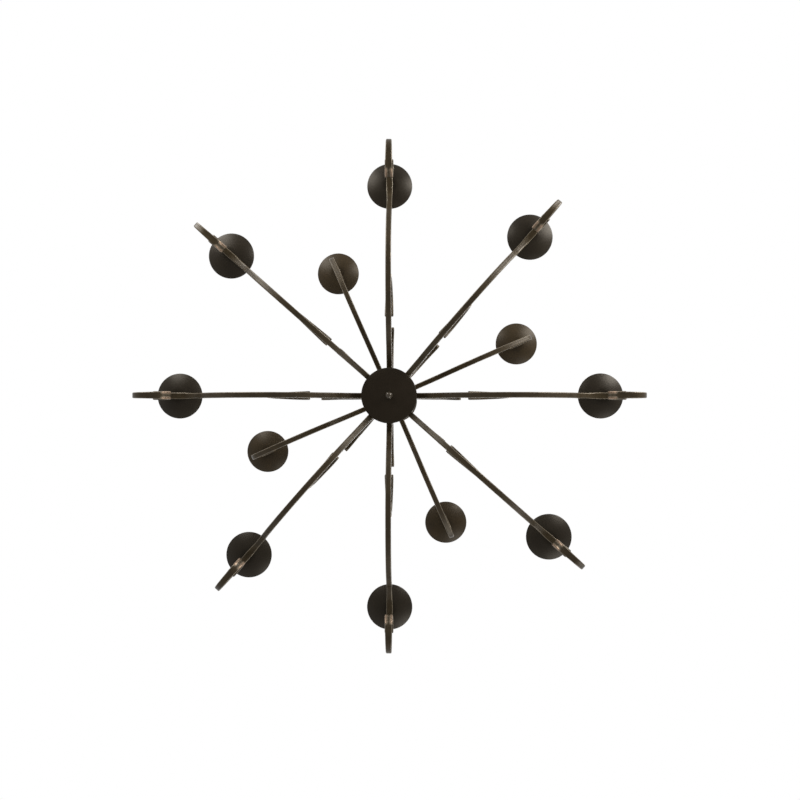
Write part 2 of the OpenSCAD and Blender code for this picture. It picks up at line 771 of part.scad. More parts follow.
crossbar();
ceiling_nipple();
nipple_nuts();
canopy();
canopy_collar();
canopy_loop();
for (i = [0:4])
    chain_link(i);
fixture_loop();
top_cap();
column_tube();
column_knop();
centre_rod();
column_vase();
hub_bush();
hub_washer();
hub_disc();
finial();
fixed_ring();
swivel_ring();
upper_ring();
for (i = [0:3]) {
    lower_arm(90*i, 0);
    lower_arm(swivel_angle + 90*i, frame_step);
    brace_scroll(90*i, 0);
    brace_scroll(swivel_angle + 90*i, frame_step);
    upper_arm(upper_angle + 90*i);
}
at_lights(dish_circle, 0, -drop) dish();  // fixed_dishes
at_lights(dish_circle, 0, -drop) nipple();  // fixed_nipples
at_lights(dish_circle, 0, -drop) socket();  // fixed_sockets
at_lights(dish_circle, 0, -drop) candle();  // fixed_candles
at_lights(dish_circle, 0, -drop) bulb();  // fixed_bulbs
at_lights(dish_circle, swivel_angle, -drop - frame_step) dish();  // swivel_dishes
at_lights(dish_circle, swivel_angle, -drop - frame_step) nipple();  // swivel_nipples
at_lights(dish_circle, swivel_angle, -drop - frame_step) socket();  // swivel_sockets
at_lights(dish_circle, swivel_angle, -drop - frame_step) candle();  // swivel_candles
at_lights(dish_circle, swivel_angle, -drop - frame_step) bulb();  // swivel_bulbs
at_lights(upper_dish_circle, upper_angle, tier_rise - drop) dish();  // upper_dishes
at_lights(upper_dish_circle, upper_angle, tier_rise - drop) nipple();  // upper_nipples
at_lights(upper_dish_circle, upper_angle, tier_rise - drop) socket();  // upper_sockets
at_lights(upper_dish_circle, upper_angle, tier_rise - drop) candle();  // upper_candles
at_lights(upper_dish_circle, upper_angle, tier_rise - drop) bulb();  // upper_bulbs
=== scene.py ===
"""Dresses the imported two-tier chandelier and sets it up as photographed from straight below."""

from math import asin, ceil, cos, degrees, exp, pi, radians, sin, sqrt

import bpy
from mathutils import Matrix, Vector, noise


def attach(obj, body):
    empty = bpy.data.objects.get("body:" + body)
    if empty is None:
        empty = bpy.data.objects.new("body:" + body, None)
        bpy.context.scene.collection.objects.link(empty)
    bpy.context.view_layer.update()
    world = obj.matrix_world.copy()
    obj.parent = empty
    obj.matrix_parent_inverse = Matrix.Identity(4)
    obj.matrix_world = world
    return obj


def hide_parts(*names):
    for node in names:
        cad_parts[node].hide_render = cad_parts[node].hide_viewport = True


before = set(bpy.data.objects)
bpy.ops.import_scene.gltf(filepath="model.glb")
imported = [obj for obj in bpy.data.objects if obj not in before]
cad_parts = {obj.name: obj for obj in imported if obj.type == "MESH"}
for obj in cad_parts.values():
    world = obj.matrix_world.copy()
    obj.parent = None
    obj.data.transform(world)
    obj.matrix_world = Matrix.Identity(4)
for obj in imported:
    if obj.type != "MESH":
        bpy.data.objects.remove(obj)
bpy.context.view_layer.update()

# Sizes, in millimetres as in the source of the solids. Heights of the lower
# part are counted from the seats of the fixed frame's dishes.

MM = 0.001
DROP = 820.0
DISH_CIRCLE = 451.5
UPPER_DISH_CIRCLE = 319.0
TIER_RISE = 226.0
FRAME_STEP = 18.5
SWIVEL_ANGLE = 41.5
UPPER_ANGLE = 66.6

BAR_W = 11.6
BAR_T = 10.0
PAD_W = 14.0
PAD_REACH = 42.0
ARM_TIP_W = 18.5
ARM_TAIL = 165.0
BRACE_TIP_W = 18.5
BRACE_TAIL = 115.0
BRACE_TOP_W = 14.5
BRACE_TOP_TAIL = 50.0
UPPER_TIP_W = 14.5
UPPER_TAIL = 40.0
WELD_GAP = 0.2
FACE_GAP = 0.25
THREAD_GAP = 0.15
SHEET = 1.3

RING_R = 45.0
UPPER_RING_R = 38.0
RING_T = 15.0
POCKET = 11.0
BUSH_R = 15.0
SPIGOT_R = 12.0
DISC_R = 58.2
DISC_T = 3.0
DISC_DOME = 5.0
FINIAL_R = 6.8
TUBE_R = 11.0
KNOP_R = 21.0
CAP_R = 29.0
CAP_H = 34.0
ROD_HOLE = 5.0
TUBE_WALL = 1.5

DISH_R = 48.5
DISH_BOWL = 83.0
DISH_ROLL = 1.5
DISH_HOLE = 6.2
DISH_SEAT = 15.0
CANDLE_R = 12.0
CANDLE_WALL = 1.0
CANDLE_H = 95.0
BULB_R = 16.5
BULB_H = 78.0
BULB_BASE_R = 6.0

CANOPY_R = 60.0
CANOPY_H = 30.0
LOOP_WIRE = 3.0
LOOP_R = 13.0
LINK_WIRE = 2.5
LINK_R = 10.5
LINK_INSIDE = 34.0
LINK_GAP = 0.3

# Paths of the forged bars, made of bends as (radius, turn) in millimetres and
# degrees. Radius 0 runs straight. A state is (x, z, heading, length so far).


def after(state, bend):
    """The state at the far end of one bend."""
    x, z, heading, length = state
    radius, turn = bend
    h = radians(heading)
    if radius == 0:
        return x + turn * cos(h), z + turn * sin(h), heading, length + turn
    side = 1 if turn > 0 else -1
    h2 = radians(heading + turn)
    return (x + side * radius * (sin(h2) - sin(h)),
            z + side * radius * (cos(h) - cos(h2)),
            heading + turn,
            length + radius * abs(radians(turn)))


def end_of(state, path):
    """The state at the end of a path."""
    for bend in path:
        state = after(state, bend)
    return state


def arm_bends(start_x, slope, fall_slope, fall_at, low_at, rise_slope, rise_at, crest_at):
    """Bends of an arm from its ring, down, along its low point and up towards its crest."""
    stub = POCKET + 1
    bend_from = start_x + stub * cos(radians(slope))
    s0, s1, s2 = (sin(radians(a)) for a in (slope, fall_slope, rise_slope))
    bends = [(0, stub),
             ((fall_at - bend_from) / (s1 - s0), slope - fall_slope),
             ((low_at - fall_at) / s1, fall_slope),
             ((rise_at - low_at) / s2, rise_slope)]
    if crest_at:
        bends.append(((crest_at - rise_at) / s2, -rise_slope))
    return bends


def width_at(length, spreads):
    """Width of the bar at a length, from its spreads as (place along the bar, width, reach)."""
    width = BAR_W
    for place, spread_w, reach in spreads:
        away = abs(length - place)
        if away < reach:
            width = max(width, BAR_W + (spread_w - BAR_W) * cos(pi / 2 * away / reach) ** 2)
    return width


def thickness_of(width):
    """Spreading the bar leaves the area of its section as it was."""
    return BAR_T * BAR_W / width


ROOT_SLOPE = 8.0
FALL_SLOPE = 50.0
FALL_AT = 106.0
LOW_AT = 255.0
RISE_SLOPE = 62.0
RISE_AT = 395.0
ARM_X = RING_R - POCKET
ARM_TO_DISH = arm_bends(ARM_X, ROOT_SLOPE, FALL_SLOPE, FALL_AT, LOW_AT, RISE_SLOPE, RISE_AT, DISH_CIRCLE)
ARM_SCROLL = [(96, -38), (47, -52), (31, -90), (0, 12), (29, -90), (20, -90), (23, -45)]
ARM_CREST = end_of((0, 0, -ROOT_SLOPE, 0), ARM_TO_DISH)
CREST_Z = -thickness_of(PAD_W) / 2 - WELD_GAP
ARM_START = (ARM_X, CREST_Z - ARM_CREST[1], -ROOT_SLOPE, 0)
ARM_PATH = ARM_TO_DISH + ARM_SCROLL
ARM_SPREADS = [(ARM_CREST[3], PAD_W, PAD_REACH),
               (end_of(ARM_START, ARM_PATH)[3], ARM_TIP_W, ARM_TAIL)]

SEAT_AT = 190.0
LOW_BEND = ARM_TO_DISH[2][0]
ARM_LOW = end_of(ARM_START, ARM_TO_DISH[:3])
SEAT_SLOPE = degrees(asin((LOW_AT - SEAT_AT) / LOW_BEND))
SEAT_LIFT = BAR_T + 2 * WELD_GAP
SEAT = (SEAT_AT + SEAT_LIFT * sin(radians(SEAT_SLOPE)),
        ARM_LOW[1] + LOW_BEND * (1 - cos(radians(SEAT_SLOPE)))
        + SEAT_LIFT * cos(radians(SEAT_SLOPE)))
SCROLL_DOWN = [(41, SEAT_SLOPE + 90), (36.5, 90), (58, 50)]
SCROLL_RISE = [(178, -32), (0, 37.5), (178, 32 + SEAT_SLOPE - 90)]
SCROLL_MID = end_of((*SEAT, 180 - SEAT_SLOPE, 0), SCROLL_RISE)
SCROLL_UP = SCROLL_RISE + [(62, -133)]
SCROLL_FAR = end_of((*SEAT, 180 - SEAT_SLOPE, 0), SCROLL_UP)
SCROLL_START = (SCROLL_FAR[0], SCROLL_FAR[1], SCROLL_FAR[2] - 180, 0)
SCROLL_PATH = [(r, t if r == 0 else -t) for r, t in reversed(SCROLL_UP)] + SCROLL_DOWN
SCROLL_SPREADS = [(0.0, BRACE_TOP_W, BRACE_TOP_TAIL),
                  (end_of(SCROLL_START, SCROLL_PATH)[3], BRACE_TIP_W, BRACE_TAIL)]

UPPER_ROOT_SLOPE = 5.0
UPPER_FALL_SLOPE = 40.0
UPPER_FALL_AT = 153.0
UPPER_LOW_AT = 238.0
UPPER_RISE_SLOPE = 35.0
UPPER_X = UPPER_RING_R - POCKET
UPPER_CURL = 28.0
UPPER_TIP = (21, 70)
UPPER_JOIN_X = UPPER_DISH_CIRCLE + UPPER_CURL * sin(radians(UPPER_RISE_SLOPE))
UPPER_TO_CURL = arm_bends(UPPER_X, UPPER_ROOT_SLOPE, UPPER_FALL_SLOPE, UPPER_FALL_AT, UPPER_LOW_AT,
                          UPPER_RISE_SLOPE, UPPER_JOIN_X, None)
UPPER_EYE = [(UPPER_CURL, 180 - UPPER_RISE_SLOPE), UPPER_TIP]
UPPER_PATH = UPPER_TO_CURL + UPPER_EYE
UPPER_FULL = end_of((0, 0, 0, 0), UPPER_PATH)[3]
UPPER_SEAT = UPPER_FULL - UPPER_TIP[0] * radians(UPPER_TIP[1])
UPPER_SPREADS = [(UPPER_SEAT, UPPER_TIP_W, PAD_REACH), (UPPER_FULL, UPPER_TIP_W, UPPER_TAIL)]
UPPER_JOIN_Z = (TIER_RISE - thickness_of(UPPER_TIP_W) / 2 - WELD_GAP
                - UPPER_CURL * (1 + cos(radians(UPPER_RISE_SLOPE))))
UPPER_START = (UPPER_X,
               UPPER_JOIN_Z - end_of((0, 0, -UPPER_ROOT_SLOPE, 0), UPPER_TO_CURL)[1],
               -UPPER_ROOT_SLOPE, 0)

# Levels of the column
POCKET_MID = (POCKET + 1) / 2
RING_Z = ARM_START[1] - POCKET_MID * sin(radians(ROOT_SLOPE))
UPPER_RING_Z = UPPER_START[1] - POCKET_MID * sin(radians(UPPER_ROOT_SLOPE))
BOSS_Z = RING_Z - FRAME_STEP - RING_T / 2 - FACE_GAP
DISC_Z = BOSS_Z - 3.6
DISC_LOW = DISC_Z - DISC_T - DISC_DOME
VASE_FOOT = RING_Z + RING_T / 2 + WELD_GAP
VASE_TOP = UPPER_RING_Z - RING_T / 2 - FACE_GAP
SPIGOT_TOP = UPPER_RING_Z + RING_T / 2 + FACE_GAP
VASE_BELLY_R = SCROLL_MID[0] - BAR_T / 2 - FACE_GAP
VASE_BELLY_Z = SCROLL_MID[1]

# Levels of the chain, from the ceiling
LOOP_NECK = -CANOPY_H - 16
LOOP_MID = LOOP_NECK - LOOP_R - 1
FIRST_TOP = LOOP_MID - LOOP_R + LOOP_WIRE + LINK_WIRE + LINK_GAP
LINK_PITCH = LINK_INSIDE - LINK_GAP
LINK_LENGTH = LINK_INSIDE + 2 * LINK_WIRE
CAP_TOP = FIRST_TOP - 4 * LINK_PITCH - LINK_LENGTH + LINK_WIRE + LOOP_WIRE + LINK_GAP \
    - 2 * LOOP_R - 17
TUBE_LOW = SPIGOT_TOP
TUBE_HIGH = CAP_TOP + DROP - SHEET - WELD_GAP
KNOP_Z = (TUBE_LOW + CAP_TOP + DROP - SHEET) / 2 + 20

# Materials


def new_material(name):
    """A node material, its shader and a function that adds nodes to it."""
    mat = bpy.data.materials.new(name)
    mat.use_nodes = True
    tree = mat.node_tree
    shader = tree.nodes["Principled BSDF"]

    def add(kind, inputs=None, **settings):
        node = tree.nodes.new(kind)
        for key, value in settings.items():
            setattr(node, key, value)
        for key, value in (inputs or {}).items():
            if isinstance(value, bpy.types.NodeSocket):
                tree.links.new(value, node.inputs[key])
            else:
                node.inputs[key].default_value = value
        return node

    def link(output, target):
        tree.links.new(output, target)

    return mat, shader, add, link


def ramp(add, value, stops):
    """A colour ramp over a value, with stops as (position, colour)."""
    node = add("ShaderNodeValToRGB", {"Fac": value})
    elements = node.color_ramp.elements
    while len(elements) < len(stops):
        elements.new(0.5)
    for element, (position, colour) in zip(elements, stops):
        element.position = position
        element.color = (*colour, 1.0) if len(colour) == 3 else colour
    return node.outputs["Color"]


def grey(value):
    return (value, value, value)


def iron_material(name, dark, light, roughness, specular, dents=0.0, grain=0.0):
    """Dark bronze paint over forged steel, rubbed pale and then copper where its rubbing attribute is high.
    On the bars' corners the pale part is also a painted highlight along the edges.
    """
    mat, shader, add, link = new_material(name)
    place = add("ShaderNodeTexCoord").outputs["Object"]
    cloud = add("ShaderNodeTexNoise", {"Vector": place, "Scale": 46.0, "Detail": 4.0, "Roughness": 0.6})
    patch = add("ShaderNodeTexNoise", {"Vector": place, "Scale": 150.0, "Detail": 5.0, "Roughness": 0.7})
    paint = ramp(add, cloud.outputs["Fac"], [(0.32, dark), (0.68, light)])
    rub_and_highlight = add("ShaderNodeAttribute", attribute_name="rub_and_highlight", attribute_type="GEOMETRY").outputs["Fac"]
    uneven = add("ShaderNodeMapRange", {"Value": patch.outputs["Fac"], "From Min": 0.3, "From Max": 0.7,
                                        "To Min": 0.72, "To Max": 1.2}).outputs[0]
    broken = add("ShaderNodeMath", {0: rub_and_highlight, 1: uneven}, operation="MULTIPLY").outputs[0]
    amount = add("ShaderNodeMapRange",
                 {"Value": broken, "From Min": RUB_FROM, "From Max": RUB_FULL}).outputs[0]
    # Pale bronze, then copper, where the paint is rubbed through; on the bars' corners the pale bronze is
    # also a painted highlight along the edges
    worn = ramp(add, broken, [(RUB_PALE, PALE_WEAR_AND_HIGHLIGHT), (RUB_COPPER, COPPER_BRONZE)])
    colour = add("ShaderNodeMix", {"Factor": amount, "A": paint, "B": worn}, data_type="RGBA")
    link(colour.outputs["Result"], shader.inputs["Base Color"])
    metal = add("ShaderNodeMath", {0: amount, 1: RUB_METAL}, operation="MULTIPLY").outputs[0]
    link(metal, shader.inputs["Metallic"])
    gloss = add("ShaderNodeMapRange", {"Value": cloud.outputs["Fac"], "From Min": 0.3, "From Max": 0.7,
                                       "To Min": roughness - 0.02, "To Max": roughness + 0.03}).outputs[0]
    smooth = add("ShaderNodeMix", {"Factor": amount, "A": gloss, "B": RUB_ROUGHNESS}, data_type="FLOAT")
    link(smooth.outputs["Result"], shader.inputs["Roughness"])
    shader.inputs["Specular IOR Level"].default_value = specular
    shader.inputs["Specular Tint"].default_value = WARM_SHINE
    height = add("ShaderNodeTexNoise", {"Vector": place, "Scale": 300.0, "Detail": 2.0}).outputs["Fac"]
    bump = add("ShaderNodeBump", {"Height": height, "Strength": grain, "Distance": 0.0002})
    if dents:
        marks = add("ShaderNodeTexNoise", {"Vector": place, "Scale": 75.0, "Detail": 1.0})
        low = add("ShaderNodeBump", {"Height": marks.outputs["Fac"], "Strength": dents, "Distance": 0.002})
        link(low.outputs["Normal"], bump.inputs["Normal"])
    link(bump.outputs["Normal"], shader.inputs["Normal"])
    return mat


RUB_FROM = 0.20
RUB_PALE = 0.50
RUB_COPPER = 0.66
RUB_FULL = 0.85
RUB_METAL = 0.45
RUB_ROUGHNESS = 0.25
# Pale bronze of rubbed edges, which on the bars' corners is also a painted highlight
PALE_WEAR_AND_HIGHLIGHT = (0.230, 0.195, 0.145)
COPPER_BRONZE = (0.225, 0.160, 0.112)
WARM_SHINE = (1.0, 0.92, 0.80, 1.0)
IRON = iron_material("forged_iron", (0.0165, 0.0108, 0.0042), (0.0300, 0.0206, 0.0090),
                     0.38, 0.25, dents=0.03)
TURNED = iron_material("turned_iron", (0.018, 0.0140, 0.0095), (0.028, 0.0225, 0.0155),
                       0.38, 0.30, grain=0.03)
DISC = iron_material("hub_disc_paint", (0.0116, 0.0081, 0.0047), (0.0138, 0.0099, 0.0060),
                     0.46, 0.10, grain=0.03)
BALL = iron_material("finial_paint", (0.0185, 0.0134, 0.0080), (0.0220, 0.0162, 0.0100), 0.26, 0.50)
DISH = iron_material("dish_paint", (0.0085, 0.0060, 0.0032), (0.0108, 0.0078, 0.0043),
                     0.42, 0.19, grain=0.01)
# Warmer and lighter, in place of the lower tier's lamplight that the photo shows on these dishes
# This colour is painted light: lamplight from the lower tier's lamps
UPPER_DISH = iron_material("dish_paint_with_painted_lamplight", (0.0170, 0.0113, 0.0048), (0.0220, 0.0147, 0.0064),
                           0.42, 0.19, grain=0.01)


def zinc_material():
    """Zinc-plated steel with fine turning marks."""
    mat, shader, add, link = new_material("zinc_steel")
    place = add("ShaderNodeTexCoord").outputs["Object"]
    bands = add("ShaderNodeTexNoise", {"Vector": add("ShaderNodeMapping", {
        "Vector": place, "Scale": (40.0, 40.0, 1400.0)}).outputs[0], "Scale": 1.0, "Detail": 3.0})
    link(ramp(add, bands.outputs["Fac"], [(0.3, (0.42, 0.42, 0.40)), (0.7, (0.58, 0.57, 0.54))]),
         shader.inputs["Base Color"])
    shader.inputs["Metallic"].default_value = 0.9
    link(add("ShaderNodeMapRange", {"Value": bands.outputs["Fac"], "To Min": 0.28, "To Max": 0.5}).outputs[0],
         shader.inputs["Roughness"])
    bump = add("ShaderNodeBump", {"Height": bands.outputs["Fac"], "Strength": 0.2, "Distance": 0.0002})
    link(bump.outputs["Normal"], shader.inputs["Normal"])
    return mat


def candle_material():
    """Ivory resin sleeve whose tone varies a little at random."""
    mat, shader, add, link = new_material("candle_ivory")
    place = add("ShaderNodeTexCoord").outputs["Object"]
    cloud = add("ShaderNodeTexNoise", {"Vector": place, "Scale": 90.0, "Detail": 4.0})
    link(ramp(add, cloud.outputs["Fac"], [(0.3, (0.70, 0.60, 0.42)), (0.7, (0.80, 0.72, 0.55))]),
         shader.inputs["Base Color"])
    shader.inputs["Roughness"].default_value = 0.52
    shader.inputs["Subsurface Weight"].default_value = 0.15
    shader.inputs["Subsurface Radius"].default_value = (0.006, 0.004, 0.002)
    bump = add("ShaderNodeBump", {"Height": cloud.outputs["Fac"], "Strength": 0.12, "Distance": 0.0006})
    link(bump.outputs["Normal"], shader.inputs["Normal"])
    return mat


def socket_material():
    """Dark moulded plastic."""
    mat, shader, add, link = new_material("socket_plastic")
    place = add("ShaderNodeTexCoord").outputs["Object"]
    grain = add("ShaderNodeTexNoise", {"Vector": place, "Scale": 500.0, "Detail": 2.0})
    link(ramp(add, grain.outputs["Fac"], [(0.3, grey(0.030)), (0.7, grey(0.045))]),
         shader.inputs["Base Color"])
    shader.inputs["Roughness"].default_value = 0.55
    bump = add("ShaderNodeBump", {"Height": grain.outputs["Fac"], "Strength": 0.1, "Distance": 0.0002})
    link(bump.outputs["Normal"], shader.inputs["Normal"])
    return mat


def lamp_material():
    """Frosted glass of a lit lamp, brightest round its filament. The glow attribute is high there."""
    mat, shader, add, link = new_material("lit_glass")
    glow = add("ShaderNodeAttribute", attribute_name="glow", attribute_type="GEOMETRY").outputs["Fac"]
    place = add("ShaderNodeTexCoord").outputs["Object"]
    frost = add("ShaderNodeTexNoise", {"Vector": place, "Scale": 800.0})
    link(ramp(add, frost.outputs["Fac"], [(0.3, (0.62, 0.46, 0.26)), (0.7, (0.70, 0.53, 0.32))]),
         shader.inputs["Base Color"])
    shader.inputs["Roughness"].default_value = 0.25
    link(ramp(add, glow, [(0.0, (1.0, 0.42, 0.14)), (0.55, (1.0, 0.55, 0.17)), (1.0, (1.0, 0.62, 0.20))]),
         shader.inputs["Emission Color"])
    link(add("ShaderNodeMapRange", {"Value": glow, "To Min": 0.35, "To Max": LAMP_GLOW}).outputs[0],
         shader.inputs["Emission Strength"])
    return mat


LAMP_GLOW = 3.0
ZINC = zinc_material()
IVORY = candle_material()
PLASTIC = socket_material()
LIT_GLASS = lamp_material()

# Meshes. Vertices are in millimetres in the row frame, counted from the ceiling.


def piece(name, verts, faces, body, slot, mat, nodes, values, attribute="rub_and_highlight", sharp=32):
    """One mesh piece that rides on a body and stands for the CAD nodes it names."""
    mesh = bpy.data.meshes.new(name)
    mesh.from_pydata([(x * MM, y * MM, z * MM) for x, y, z in verts], [], faces)
    mesh.materials.append(mat)
    mesh.shade_smooth()
    mesh.set_sharp_from_angle(angle=radians(sharp))
    layer = mesh.attributes.new(attribute, "FLOAT", "POINT")
    layer.data.foreach_set("value", values)
    mesh.update()
    obj = bpy.data.objects.new(name, mesh)
    bpy.context.scene.collection.objects.link(obj)
    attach(obj, body)
    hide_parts(*nodes)


class Shape:
    """Vertices, faces and one value per vertex, gathered from several closed forms."""

    def __init__(self):
        self.verts, self.faces, self.values = [], [], []

    def add(self, verts, faces, values):
        base = len(self.verts)
        self.verts += verts
        self.faces += [tuple(base + i for i in face) for face in faces]
        self.values += values

    def make(self, name, body, slot, mat, nodes, **extra):
        piece(name, self.verts, self.faces, body, slot, mat, nodes, self.values, **extra)


def lathe(profile, centre, segments=96, values=None, wobble=None):
    """A closed turned form from its half outline (r, z), listed once round.

    Points on the axis are shared. wobble gives what is added to the radius at (angle, r, z).
    """
    verts, rings, out = [], [], []
    values = values or [0.0] * len(profile)
    for (r, z), value in zip(profile, values):
        if r < 1e-6:
            rings.append([len(verts)] * segments)
            verts.append((centre[0], centre[1], centre[2] + z))
            out.append(value)
            continue
        rings.append(list(range(len(verts), len(verts) + segments)))
        for j in range(segments):
            a = 2 * pi * j / segments
            dr = wobble(a, r, z) if wobble else 0.0
            verts.append((centre[0] + (r + dr) * cos(a), centre[1] + (r + dr) * sin(a), centre[2] + z))
            out.append(value)
    faces = []
    count = len(profile)
    closed = profile[0][0] > 1e-6 or profile[-1][0] > 1e-6
    for i in range(count if closed else count - 1):
        low, high = rings[i], rings[(i + 1) % count]
        for j in range(segments):
            k = (j + 1) % segments
            face = [low[j], low[k], high[k], high[j]]
            face = [v for n, v in enumerate(face) if v != face[n - 1]]
            if len(face) > 2:
                faces.append(tuple(face))
    return verts, faces, out


def turn(point, angle, lower):
    """A point (x, y, z) of an arm's plane, turned about the column and moved down from the ceiling."""
    c, s = cos(radians(angle)), sin(radians(angle))
    x, y, z = point
    return x * c - y * s, x * s + y * c, z - DROP - lower


CORNER_STEPS = 5
BAR_ROUND = 2.4
FACE_STEPS = (0.75, 0.5, 0.2, -0.2, -0.5, -0.75)


def section_corners(w, t):
    """Outline of the bar's section as (along the normal, across, corner).

    corner is 1 on a corner's middle and 0 at its ends.
    """
    r = min(BAR_ROUND, t * 0.33)
    out = []
    for sign_n, sign_w, start in ((-1, 1, 180), (1, 1, 90), (1, -1, 0), (-1, -1, -90)):
        for i in range(CORNER_STEPS):
            a = radians(start - 90 * i / (CORNER_STEPS - 1))
            middle = 1 - abs(2 * i / (CORNER_STEPS - 1) - 1)
            out.append((sign_n * (t / 2 - r) + r * cos(a), sign_w * (w / 2 - r) + r * sin(a), middle))
        # Points on the wide faces, between their middles and the corners
        if sign_n != sign_w:
            continue
        out += [(sign_n * t / 2, sign_w * (w / 2 - r) * f, 0.0) for f in FACE_STEPS]
    return out


def bar_stations(start, path):
    """Close stations along a path, each with its signed curvature."""
    out = [(start, 0.0)]
    state = start
    for radius, turned in path:
        length = turned if radius == 0 else radius * abs(radians(turned))
        pitch = 3.0 if radius and radius < 70 else 6.0
        steps = max(1, ceil(length / pitch))
        bend = 0.0 if radius == 0 else (1 if turned > 0 else -1) / radius
        for i in range(1, steps + 1):
            out.append((after(state, (radius, turned * i / steps)), bend))
        state = after(state, (radius, turned))
    return out


HAMMERED = 0.10
HOLLOW_BAR = 0.15
HOLLOW_TAIL = 0.60
HEEL_FADE = 7.0
# How pale the bars' corners are rubbed: real wear and a painted highlight along the edges together
EDGE_WEAR_AND_HIGHLIGHT = 0.52
TIP_RUB = 0.25
TIP_REACH = 5.0
END_SHRINK = 0.8


def heel_rub(length, heel, across):
    """Rub on the outside of a scroll's heel, along both edges. heel is its (start, end)."""
    if heel is None:
        return 0.0
    outside = max(0.0, heel[0] - length, length - heel[1])
    lobes = 0.25 + 0.70 * min(1.0, max(0.0, abs(across) - 0.2) / 0.4)
    return max(0.0, 1 - outside / HEEL_FADE) * lobes


def forged_bar(name, start, path, spreads, angle, lower, body, node, heel=None, both_ends=False):
    """A forged bar with hammered faces, rubbed edges and heel, and hollowed fishtails. The pale rubbing along
    its edges is also a painted highlight.
    """
    stations = bar_stations(start, path)
    full = stations[-1][0][3]
    verts, values, faces = [], [], []
    for (x, z, heading, length), bend in stations:
        w = width_at(length, spreads)
        t = thickness_of(w)
        flare = (w - BAR_W) / (ARM_TIP_W - BAR_W)
        tail = min(full - length, length if both_ends else full)
        h = radians(heading)
        # The cut end is dressed: its last millimetres are a little rounded
        trim = max(0.0, 1.2 - tail) * 0.55
        for n, v, corner in section_corners(w - trim, t - trim):
            # The faces are hollowed a little, most of all on a scroll and its fishtail
            hollow = HOLLOW_BAR + (HOLLOW_TAIL - HOLLOW_BAR) * min(1.0, max(0.0, flare) * 2.5)
            groove = hollow * (1 - min(1.0, abs(v) / (w * 0.42)) ** 2)
            n -= (1 if n > 0 else -1) * groove
            px, py, pz = turn((x - n * sin(h), v, z + n * cos(h)), angle, lower)
            place = Vector((px, py, pz))
            dent = noise.noise(place * 0.05) + 0.4 * noise.noise(place * 0.12)
            ox, oy, oz = turn((-n * sin(h), v, n * cos(h)), angle, -DROP)
            push = HAMMERED * dent / sqrt(n * n + v * v)
            verts.append((px + push * ox, py + push * oy, pz + push * oz))
            tip = TIP_RUB * max(0.0, 1 - (full - length) / TIP_REACH)
            outer = 1.0 if n * bend < 0 else 0.1
            # On the corners this is rubbed wear and a painted edge highlight together; at the tip and heel it
            # is rubbed wear
            rub_and_highlight = max(EDGE_WEAR_AND_HIGHLIGHT * corner, tip, outer * heel_rub(length, heel, 2 * v / w))
            values.append(min(1.0, rub_and_highlight))
    count = len(section_corners(BAR_W, BAR_T))
    last = len(stations) - 1
    for i in range(last):
        for j in range(count):
            k = (j + 1) % count
            faces.append((i * count + j, i * count + k, (i + 1) * count + k, (i + 1) * count + j))
    # The ends are closed by two smaller rings, so that their edges catch the light
    for station, order in ((0, -1), (last, 1)):
        ring = [station * count + j for j in range(count)]
        middle = [sum(verts[v][axis] for v in ring) / count for axis in range(3)]
        base = len(verts)
        for v in ring:
            verts.append(tuple(middle[axis] + (verts[v][axis] - middle[axis]) * END_SHRINK
                               for axis in range(3)))
            values.append(min(1.0, values[v] + 0.1))
        for j in range(count):
            k = (j + 1) % count
            quad = (ring[j], ring[k], base + k, base + j)
            faces.append(quad if order > 0 else quad[::-1])
        cap = tuple(base + j for j in range(count))
        faces.append(cap if order > 0 else cap[::-1])
    piece(name, verts, faces, body, "wrought_iron", IRON, (node,), values)


BEFORE_HEEL = len(ARM_TO_DISH) + 4
ARM_HEEL = (end_of(ARM_START, ARM_PATH[:BEFORE_HEEL])[3] + 20,
            end_of(ARM_START, ARM_PATH[:BEFORE_HEEL + 1])[3] - 4)
BEFORE_EYE = end_of(SCROLL_START, SCROLL_PATH[:-2])[3]
SCROLL_HEEL = (BEFORE_EYE - 20, BEFORE_EYE - 8)
for i in range(4):
    for kind, angle, lower, body in (("fixed", 90 * i, 0.0, "column"),
                                     ("swivel", SWIVEL_ANGLE + 90 * i, FRAME_STEP, "swivel_frame")):
        forged_bar(f"{kind}_arm_bar_{i + 1}", ARM_START, ARM_PATH, ARM_SPREADS, angle, lower, body,
                   f"{kind}_arm_{i + 1}", heel=ARM_HEEL)
        forged_bar(f"{kind}_scroll_bar_{i + 1}", SCROLL_START, SCROLL_PATH, SCROLL_SPREADS, angle, lower,
                   body, f"{kind}_scroll_{i + 1}", heel=SCROLL_HEEL, both_ends=True)
    forged_bar(f"upper_arm_bar_{i + 1}", UPPER_START, UPPER_PATH, UPPER_SPREADS, UPPER_ANGLE + 90 * i, 0.0,
               "upper_frame", f"upper_arm_{i + 1}")

# Lights: dish, candle sleeve and lamp on each arm


def arc(cx, cz, r, start, end, steps):
    """Points (x, z) on a circle from one angle to another."""
    return [(cx + r * cos(radians(start + (end - start) * i / steps)),
             cz + r * sin(radians(start + (end - start) * i / steps))) for i in range(steps + 1)]


